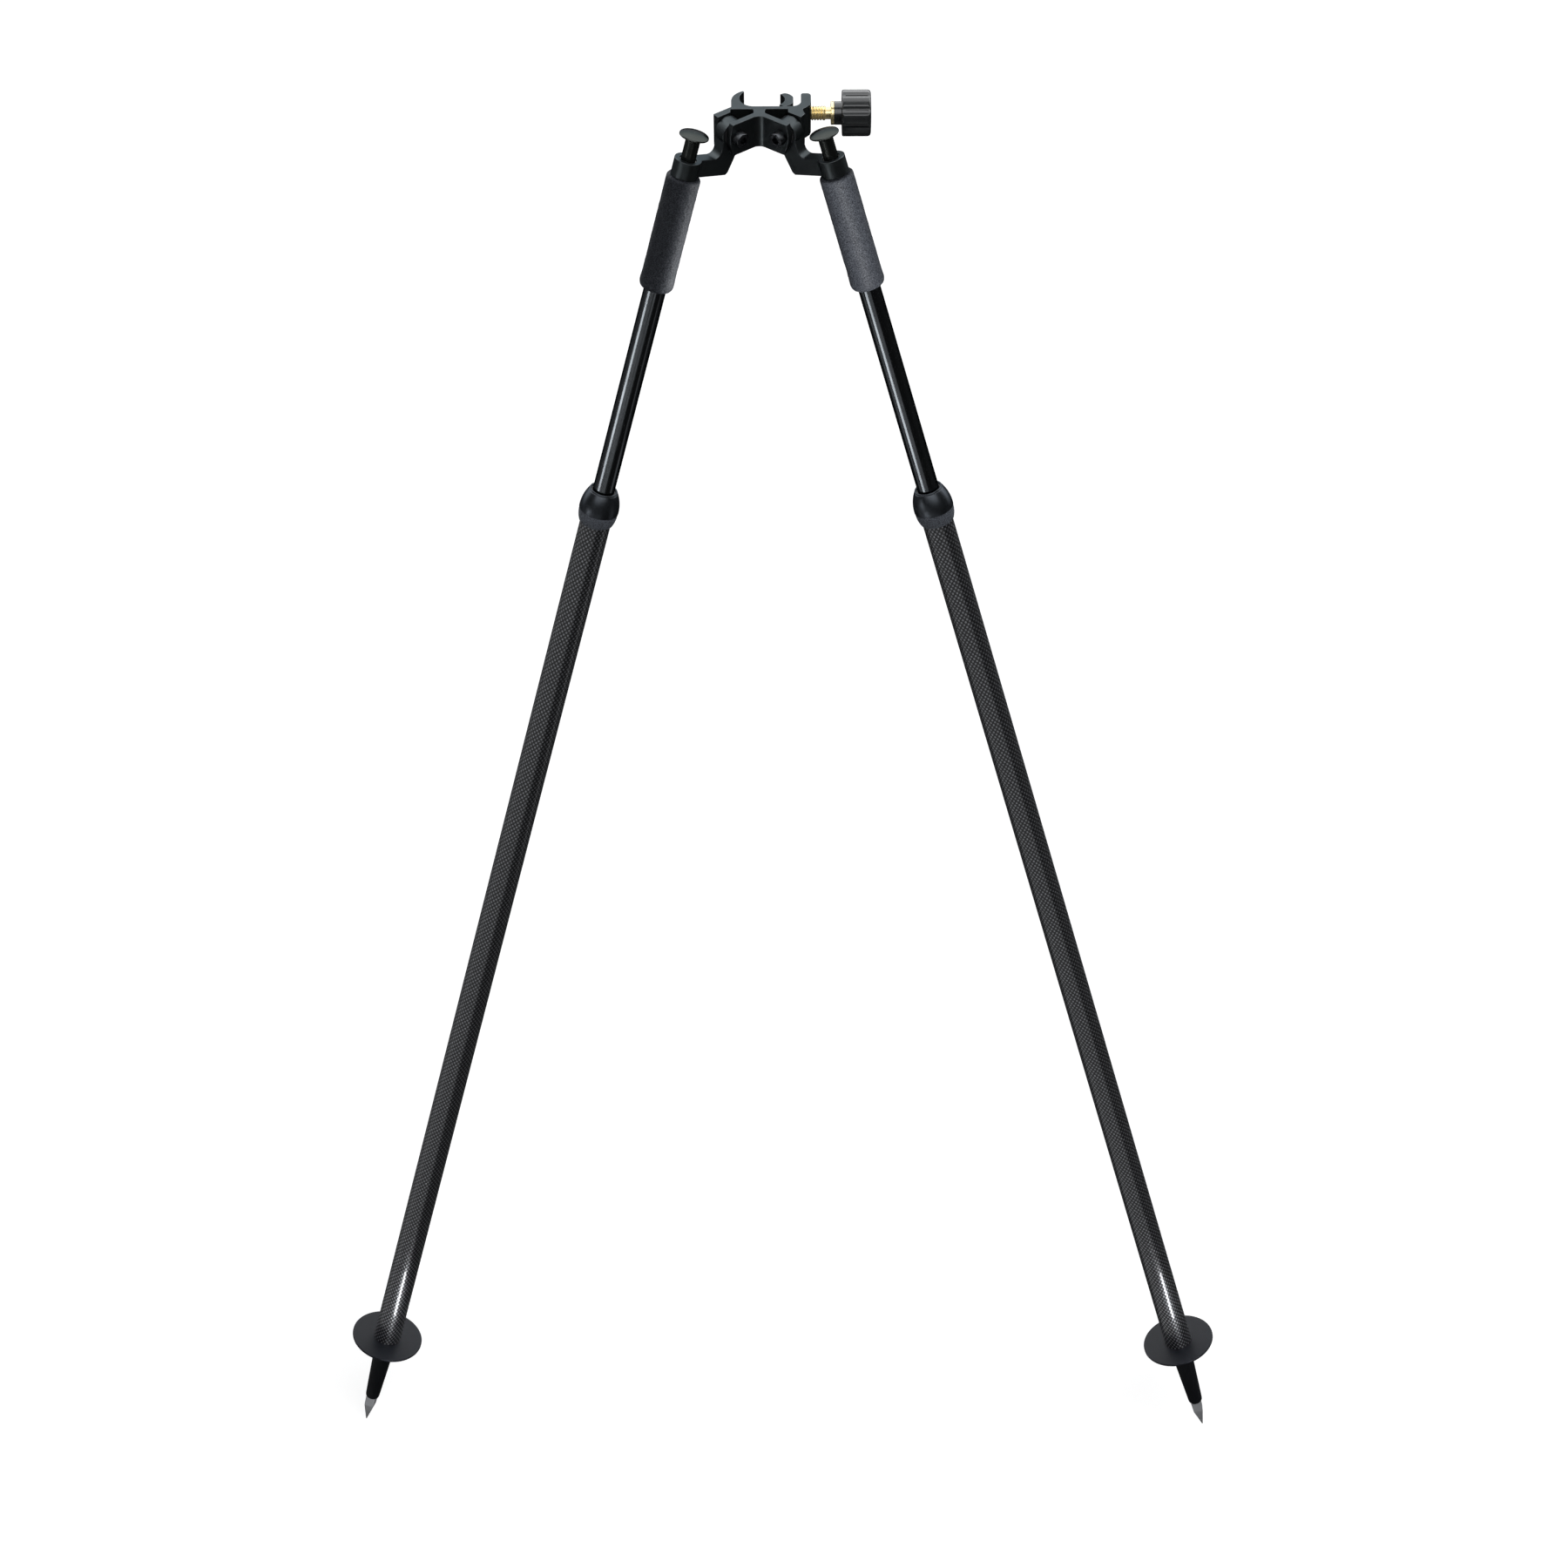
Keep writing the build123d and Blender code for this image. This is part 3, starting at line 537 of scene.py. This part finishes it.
def dress_pin_ends(form):
    """Closes the hole across the jaw over the pin's ends, which are dressed flush."""
    pin = nodes["jaw_pin"].data.vertices
    centre = sum((v.co for v in pin), Vector()) / len(pin)
    wall = []
    for face in form.faces:
        inward = (centre - face.calc_center_median()).xy
        round_pin = PIN_HOLE[0] * MM < inward.length < PIN_HOLE[1] * MM
        if round_pin and face.normal.xy.dot(inward.normalized()) > 0.9:
            wall.append(face)
    bmesh.ops.delete(form, geom=wall, context="FACES")
    bmesh.ops.holes_fill(form, edges=[edge for edge in form.edges if edge.is_boundary], sides=0)


def rounded_copy(node, width, place=Matrix.Identity(4), sharp=28.0, trim=None):
    """The CAD node's own shape, its triangles joined into faces and its edges rounded by width."""
    form = bmesh.new()
    form.from_mesh(nodes[node].data)
    form.transform(place.inverted())
    for layer in list(form.loops.layers.uv):
        form.loops.layers.uv.remove(layer)
    bmesh.ops.remove_doubles(form, verts=form.verts, dist=WELD)
    if trim:
        trim(form)
        bmesh.ops.remove_doubles(form, verts=form.verts, dist=WELD)
    bmesh.ops.dissolve_limit(form, angle_limit=radians(0.6), verts=form.verts, edges=form.edges)
    piece = new_piece("fine_" + node, form, place, sharp)
    normals = piece.data.attributes.get("custom_normal")
    if normals:
        piece.data.attributes.remove(normals)
    edges = piece.modifiers.new("rounded_edges", "BEVEL")
    edges.width = width * MM
    edges.segments = 3
    edges.limit_method = "ANGLE"
    edges.angle_limit = radians(sharp)
    edges.use_clamp_overlap = False
    edges.miter_outer = "MITER_ARC"
    edges.harden_normals = True
    return stand_for(piece, node)


# ================= the leg's pieces =================
def make_spring(side, place):
    """The button's return spring."""
    node = "release_spring_" + side
    form = bmesh.new()
    form.from_mesh(nodes[node].data)
    form.transform(place.inverted())
    piece = stand_for(new_piece("button_spring_" + side, form, place, 60.0), node)
    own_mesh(piece)


def make_grip(side, place):
    top = BARREL_LENGTH + 0.2
    core = ROD_RADIUS + 0.05
    row = 0.8
    wall = GRIP_RADIUS
    swell = wall + 0.35
    rim = bend((wall - 2.6, top), (wall, top), (wall, top + 2.6), 8)
    foot = bend((swell, GRIP_END - 6.2), (swell, GRIP_END), (wall - 3.4, GRIP_END), 14)
    neck = (wall, GRIP_END - 14.0)
    outline = [(core, top), *rim, *divided(rim[-1], neck, row)[1:]]
    outline += [*divided(neck, foot[0], row), *foot]
    outline += [*divided(foot[-1], (core, GRIP_END), row)[1:], (core, GRIP_END)]
    piece = lathe("foam_grip_" + side, outline, place, True, 144)
    limit = (core + 0.3) * MM
    roughen(piece, ((7.0, 0.16), (1.7, 0.16)), lambda co: co.xy.length > limit)
    stand_for(piece, "grip_" + side)


def make_rod(side, place):
    edge = 0.4
    outline = [
        (ROD_BORE, ROD_START),
        (ROD_RADIUS - edge, ROD_START),
        (ROD_RADIUS, ROD_START + edge),
        (ROD_RADIUS, ROD_END - edge),
        (ROD_RADIUS - edge, ROD_END),
        (ROD_BORE, ROD_END),
    ]
    stand_for(lathe("leg_rod_" + side, outline, place), "inner_rod_" + side)


def make_collar(side, place):
    mouth = (COLLAR_BORE, COLLAR_TOP)
    lip = 12.5
    step = 13.35
    rim = (COLLAR_RADIUS, COLLAR_WIDE)
    brim = COLLAR_WIDE - 3.0
    bore = TUBE_RADIUS + 0.05
    belly = arc((step, COLLAR_TOP + 1.6), (16.7, COLLAR_TOP + 9.4), (COLLAR_RADIUS, brim), 24)
    outline = [
        *bend((COLLAR_BORE, COLLAR_TOP + 0.8), mouth, (COLLAR_BORE + 0.6, COLLAR_TOP), 4),
        *bend((lip - 0.3, COLLAR_TOP), (lip, COLLAR_TOP), (lip + 0.25, COLLAR_TOP + 0.25), 4),
        (step - 0.2, COLLAR_TOP + 1.1),
        (step - 0.25, COLLAR_TOP + 1.45),
        *belly,
        *bend((COLLAR_RADIUS, COLLAR_WIDE - 0.5), rim, (COLLAR_RADIUS - 0.5, COLLAR_WIDE), 4),
        (bore, COLLAR_WIDE),
        (bore, COLLAR_SHOULDER),
        (COLLAR_BORE, COLLAR_SHOULDER),
    ]
    stand_for(lathe("leg_collar_" + side, outline, place), "guide_collar_" + side)


def make_band(side, place):
    top = COLLAR_RADIUS - 0.45
    middle = (top - 0.25, COLLAR_WIDE + 5.5)
    curve = arc((top, COLLAR_WIDE), middle, (15.6, COLLAR_END - 0.6), 26)
    inner = TUBE_RADIUS + 0.05
    outline = [*curve, (15.0, COLLAR_END), (inner, COLLAR_END), (inner, COLLAR_WIDE)]
    piece = lathe("leg_band_" + side, outline, place, True, 288)
    limit = 15.2 * MM
    low = -(COLLAR_WIDE + 0.4) * MM
    roughen(piece, ((0.9, 0.14), (0.5, 0.08)), lambda co: co.xy.length > limit and co.z < low)
    stand_for(piece, "collar_band_" + side)


def make_tube(side, place):
    runs = [(TUBE_RADIUS, TUBE_START), (TUBE_RADIUS, TUBE_END)]
    outline = [(TUBE_BORE, TUBE_START), *divided(*runs, 40.0), runs[-1], (TUBE_BORE, TUBE_END)]
    stand_for(lathe("leg_tube_" + side, outline, place), "carbon_tube_" + side)


def make_disc(side, place):
    edge = 0.7
    inner = CONE_NECK + 0.05
    rim = DISC_RADIUS
    outline = [
        (inner, TUBE_END),
        (rim - 2.2, TUBE_END),
        *bend((rim - edge, TUBE_END + 0.1), (rim, TUBE_END + 0.1), (rim, TUBE_END + edge), 5),
        *bend((rim, DISC_UNDER - edge), (rim, DISC_UNDER), (rim - edge, DISC_UNDER), 5),
        (inner, DISC_UNDER),
    ]
    stand_for(lathe("ground_disc_" + side, outline, place, True, 160), "foot_disc_" + side)


def make_cone(side, place):
    spigot = TUBE_BORE - 0.05
    tip = bend((7.55, CONE_END - 3.0), (7.4, CONE_END), (6.2, CONE_END), 6)
    flare = ((0.7, 0.0), (0.6, 2.0), (0.4, 5.0))
    root = [(CONE_NECK + out, DISC_UNDER + down) for out, down in flare]
    outline = [
        (0.4, SPIGOT_TOP),
        (spigot - 0.5, SPIGOT_TOP),
        (spigot, SPIGOT_TOP + 0.5),
        (spigot, TUBE_END),
        (CONE_NECK, TUBE_END),
        (CONE_NECK, DISC_UNDER),
        *bend(*root, 4),
        *tip,
        (SHANK_RADIUS, CONE_END),
        (SHANK_RADIUS, SHANK_TOP),
        (0.4, SHANK_TOP),
    ]
    stand_for(lathe("ground_cone_" + side, outline, place, False), "foot_cone_" + side)


# ================= the clamp screw and knob =================
def thread_radius(height):
    """The radius of a right-hand thread at a height, as a function of the angle."""

    def radius(angle):
        phase = (height / THREAD_PITCH - angle / (2 * pi)) % 1.0
        ramp = min(1.0, max(0.0, 2.6 * abs(phase - 0.5) - 0.2))
        fade = min(1.0, (height - THREAD_START) / 1.2, (THREAD_END - height) / 1.2)
        return SCREW_RADIUS - THREAD_DEPTH * ramp * max(0.0, fade)

    return radius


def make_screw(place):
    row = 0.16
    turns = round((THREAD_END - THREAD_START) / row)
    tip = [(24.5, 3.6), (24.9, 4.0), (25.5, 4.0)]
    groove = [(25.5, 2.8), (28.3, 2.8), (28.3, 4.0), (29.7, 4.0), (29.7, 5.2)]
    rows = [(height, lambda angle, r=radius: r) for height, radius in tip + groove]
    heights = [THREAD_START + k * row for k in range(turns + 1)]
    rows += [(height, thread_radius(height)) for height in heights]
    neck = [(57.3, 5.25), (FLANGE_X, 5.25)]
    flange = [(x, r) for r, x in bend((9.5, FLANGE_X), (10.0, FLANGE_X), (10.0, FLANGE_X + 0.5), 4)]
    flange += [(FLANGE_END, 10.0), (FLANGE_END, 5.0), (KNOB_X + 16.0, 5.0)]
    rows += [(height, lambda angle, r=radius: r) for height, radius in neck + flange]
    piece = new_piece("thread_screw", surface(rows, even_angles(96), False), place, 40.0)
    stand_for(piece, "clamp_screw")


def knob_angles():
    """Bearings round the knob, close together at the slots and the valleys' edges."""
    half = [0.0, 1.5, 1.69, 1.85, 3.0, 5.0, 7.0, 8.6, 9.8, 10.7, 11.6, 12.8, 15.0, 18.5]
    pitch = 360.0 / KNOB_LOBES
    around = sorted({-a for a in half} | set(half) | {pitch / 2})
    return [radians(FIRST_VALLEY + lobe * pitch + a) for lobe in range(KNOB_LOBES) for a in around]


def knob_radius(limit, slotted):
    """The lobed section's radius, cut off at a limit, with or without the slots."""
    pitch = 2 * pi / KNOB_LOBES

    def radius(angle):
        off = (angle - radians(FIRST_VALLEY) + pitch / 2) % pitch - pitch / 2
        reach = VALLEY_CENTRE * sin(off)
        if abs(reach) < VALLEY_RADIUS:
            valley = VALLEY_CENTRE * cos(off) - sqrt(VALLEY_RADIUS**2 - reach**2)
        else:
            valley = 2 * KNOB_RADIUS
        blend = max(0.0, VALLEY_EDGE - abs(valley - KNOB_RADIUS)) / VALLEY_EDGE
        section = min(valley, KNOB_RADIUS) - blend**2 * VALLEY_EDGE / 4
        if slotted and abs(off) * KNOB_RADIUS < SLOT_HALF * 1.03:
            section = SLOT_FLOOR
        return min(section, limit)

    return radius


def make_knob(place):
    hub = 10.0
    bore = 5.02
    end = KNOB_X + KNOB_LENGTH
    near = bend((KNOB_RADIUS - 1.8, KNOB_X), (KNOB_RADIUS, KNOB_X), (KNOB_RADIUS, KNOB_X + 1.8), 6)
    far = bend((KNOB_RADIUS, end - 3.4), (KNOB_RADIUS, end), (KNOB_RADIUS - 3.4, end), 9)
    cap = 9.0
    first, last = KNOB_X + SLOT_SPAN[0], KNOB_X + SLOT_SPAN[1]
    start = bend((hub - 0.8, FLANGE_END), (hub, FLANGE_END), (hub, FLANGE_END + 0.8), 4)
    rows = [(FLANGE_END, bore, False)]
    rows += [(x, r, False) for r, x in start]
    shoulder = bend((hub, KNOB_X - 0.8), (hub, KNOB_X), (hub + 0.8, KNOB_X), 4)
    rows += [(x, r, False) for r, x in shoulder]
    rows += [(x, r, False) for r, x in near]
    rows += [(first, KNOB_RADIUS, False), (first + 0.1, KNOB_RADIUS, True)]
    rows += [(last - 0.1, KNOB_RADIUS, True)]
    rows += [(x, r, x < last) for r, x in far]
    rows.sort(key=lambda row: row[0])
    recess = [(end, cap + 0.4), (end - 0.4, cap), (end - 1.5, cap), (end - 1.5, bore)]
    rows += [(x, r, False) for x, r in recess]
    skin = [(x, knob_radius(r, slotted)) for x, r, slotted in rows]
    piece = new_piece("lobed_knob", surface(skin, knob_angles(), True), place, 40.0)
    stand_for(piece, "clamp_knob")


# ================= camera, lights and backdrop =================
def make_camera():
    tilt = radians(CAMERA_ELEVATION)
    camera = bpy.data.objects.new("camera", bpy.data.cameras.new("camera"))
    camera.location = Vector(CAMERA_TARGET) + CAMERA_DISTANCE * Vector((0.0, -cos(tilt), sin(tilt)))
    camera.rotation_euler = (radians(90.0 - CAMERA_PITCH), 0.0, radians(CAMERA_TURN))
    camera.data.lens = CAMERA_LENS
    camera.data.sensor_width = SENSOR
    bpy.context.scene.collection.objects.link(camera)
    bpy.context.scene.camera = camera


def glowing(name, colour, roughness, glow, strength):
    """A matt surface without shine that also gives off light."""
    look = Look(name, colour, roughness, Specular_IOR_Level=0.0)
    look.put("Emission Color", glow)
    look.put("Emission Strength", strength)
    return look.material


def make_floor():
    """A plain pale floor under the points, and a pale shell round everything."""
    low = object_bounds()[0].z
    place = {"radius": STUDIO_RADIUS, "location": (0, 0, low)}
    bpy.ops.mesh.primitive_circle_add(vertices=96, fill_type="NGON", **place)
    floor = bpy.context.object
    floor.name = "studio_floor"
    floor.data.materials.append(glowing("floor_paper", (0.86, 0.86, 0.86), 0.9, WHITE, FLOOR_GLOW))
    bpy.ops.mesh.primitive_uv_sphere_add(segments=64, ring_count=32, **place)
    shell = bpy.context.object
    shell.name = "studio_shell"
    shell.data.materials.append(glowing("shell_paper", BLACK, 1.0, WHITE, SHELL_GLOW))
    for stage in (floor, shell):
        stage.visible_glossy = False
        stage.visible_diffuse = False
        stage.visible_shadow = False


def add_sun(name, azimuth, elevation, strength, spread, piece=None):
    """Soft parallel light, on everything or on one piece alone."""
    sun = bpy.data.objects.new(name, bpy.data.lights.new(name, "SUN"))
    sun.data.energy = strength
    sun.data.angle = radians(spread)
    sun.rotation_euler = (radians(90.0 - elevation), 0.0, radians(azimuth))
    sun.visible_glossy = piece is not None
    bpy.context.scene.collection.objects.link(sun)
    if piece:
        lit = bpy.data.collections.new(name + "_receiver")
        lit.objects.link(piece)
        sun.light_linking.receiver_collection = lit


# Distant reflectors that glossy parts mirror: azimuth from the front towards the knob, elevation,
# half width, half height and softness of the edges in degrees, and brightness.
CARDS = (
    (180.0, 45.0, 75.0, 48.0, 16.0, 2.75),
    (0.0, 50.0, 46.0, 20.0, 14.0, 3.0),
    (-42.0, -22.0, 42.0, 26.0, 16.0, 0.1),
    (75.0, -30.0, 20.0, 20.0, 14.0, 0.05),
    (-105.0, -20.0, 32.0, 22.0, 12.0, 0.14),
    (120.0, 25.0, 9.0, 35.0, 8.0, 0.8),
    (-135.0, 25.0, 9.0, 35.0, 8.0, 0.8),
)
AMBIENT = 0.035
FILL = 0.2

# Near reflectors, each where a stretch of a leg mirrors it to the camera: distance in metres,
# depths down the leg in mm, shares of the leg's width from its left edge, and brightness.
NEAR_CARDS = (
    (3.0, (118.0, 336.0), (0.24, 0.325), 7.5),
    (3.0, (118.0, 336.0), (0.335, 0.49), 0.7),
    (0.15, (343.0, 1420.0), (0.13, 0.6), 0.5),
    (0.08, (1285.0, 1350.0), (0.53, 0.59), 24.0),
)
CARD_STEPS = 8


def mirrored_point(place, depth, share, distance):
    """Where the camera's ray goes after it meets a leg at a depth and a share of its width."""
    up = place.col[2].xyz.normalized()
    start = place @ Vector((0.0, 0.0, -depth * MM))
    view = (bpy.context.scene.camera.location - start).normalized()
    front = (view - up * view.dot(up)).normalized()
    aside = 2.0 * share - 1.0
    normal = up.cross(front) * aside + front * sqrt(1.0 - aside**2)
    return start + (normal * 2.0 * normal.dot(view) - view) * distance


def make_near_cards(side, place):
    for index, (distance, depths, shares, strength) in enumerate(NEAR_CARDS):
        corners, faces = [], []
        for i in range(CARD_STEPS + 1):
            share = shares[0] + (shares[1] - shares[0]) * i / CARD_STEPS
            corners += [mirrored_point(place, depth, share, distance) for depth in depths]
        for i in range(0, 2 * CARD_STEPS, 2):
            faces.append((i, i + 1, i + 3, i + 2))
        mesh = bpy.data.meshes.new("near_card")
        mesh.from_pydata(corners, [], faces)
        card = bpy.data.objects.new(f"near_card_{side}_{index}", mesh)
        bpy.context.scene.collection.objects.link(card)
        glow = glowing(card.name, BLACK, 1.0, COOL_WHITE, strength)
        glow.cycles.emission_sampling = "NONE"
        mesh.materials.append(glow)
        card.visible_camera = False
        card.visible_diffuse = False
        card.visible_shadow = False


def make_world():
    world = bpy.data.worlds.new("studio_world")
    bpy.context.scene.world = world
    world.use_nodes = True
    tree = world.node_tree
    background = tree.nodes["Background"]
    way = tree.nodes.new("ShaderNodeTexCoord").outputs["Generated"]

    def join(value, socket):
        if isinstance(value, bpy.types.NodeSocket):
            tree.links.new(value, socket)
        else:
            socket.default_value = value

    def math(operation, *values):
        made = tree.nodes.new("ShaderNodeMath")
        made.operation = operation
        for index, value in enumerate(values):
            join(value, made.inputs[index])
        return made.outputs[0]

    def fall(value, half, soft):
        made = tree.nodes.new("ShaderNodeMapRange")
        made.interpolation_type = "SMOOTHSTEP"
        limits = (radians(half - soft / 2), radians(half + soft / 2), 1.0, 0.0)
        join(math("ABSOLUTE", value), made.inputs["Value"])
        for name, limit in zip(("From Min", "From Max", "To Min", "To Max"), limits):
            made.inputs[name].default_value = limit
        return made.outputs[0]

    parts = tree.nodes.new("ShaderNodeSeparateXYZ")
    tree.links.new(way, parts.inputs[0])
    x, y, z = parts.outputs
    height = math("ARCSINE", z)
    total = AMBIENT
    for azimuth, elevation, half_width, half_height, soft, strength in CARDS:
        c, s = cos(radians(azimuth)), sin(radians(azimuth))
        ahead = math("SUBTRACT", math("MULTIPLY", x, s), math("MULTIPLY", y, c))
        aside = math("ADD", math("MULTIPLY", x, c), math("MULTIPLY", y, s))
        width = fall(math("ARCTAN2", aside, ahead), half_width, soft)
        reach = fall(math("SUBTRACT", height, radians(elevation)), half_height, soft)
        total = math("ADD", total, math("MULTIPLY", math("MULTIPLY", width, reach), strength))
    ray = tree.nodes.new("ShaderNodeLightPath").outputs["Is Glossy Ray"]
    mirrored = math("MULTIPLY", total, ray)
    spread = math("MULTIPLY", math("SUBTRACT", 1.0, ray), FILL)
    tree.links.new(math("ADD", mirrored, spread), background.inputs["Strength"])
    world.cycles.sampling_method = "NONE"
    background.inputs["Color"].default_value = COOL_WHITE


# ================= the whole object =================
for name, node in nodes.items():
    node.data.materials.clear()
    node.data.materials.append(looks[slot_of[name]])

rounded_copy("clamp_body", 0.45, trim=trim_nose)
rounded_copy("moving_jaw", 0.45, trim=dress_pin_ends)
rounded_copy("knob_cap", 0.2)
make_screw(screw_frame())
make_knob(screw_frame())
for side in SIDES:
    leg = leg_frame(side)
    rounded_copy("leg_bracket_" + side, 0.55, leg)
    rounded_copy("pivot_bolt_" + side, 0.15)
    rounded_copy("thumb_button_" + side, 0.18, leg)
    rounded_copy("steel_point_" + side, 0.3, leg)
    make_spring(side, leg)
    make_grip(side, leg)
    make_rod(side, leg)
    make_collar(side, leg)
    make_band(side, leg)
    make_tube(side, leg)
    make_disc(side, leg)
    make_cone(side, leg)

make_camera()
make_floor()
add_sun("key_light", *KEY_LIGHT)
for side, azimuth, elevation, strength in GRIP_LIGHTS:
    grip = bpy.data.objects["foam_grip_" + side]
    add_sun("grip_light_" + side, azimuth, elevation, strength, GRIP_SPREAD, grip)
for side in SIDES:
    make_near_cards(side, leg_frame(side))
make_world()
bpy.context.scene.view_settings.view_transform = "Standard"
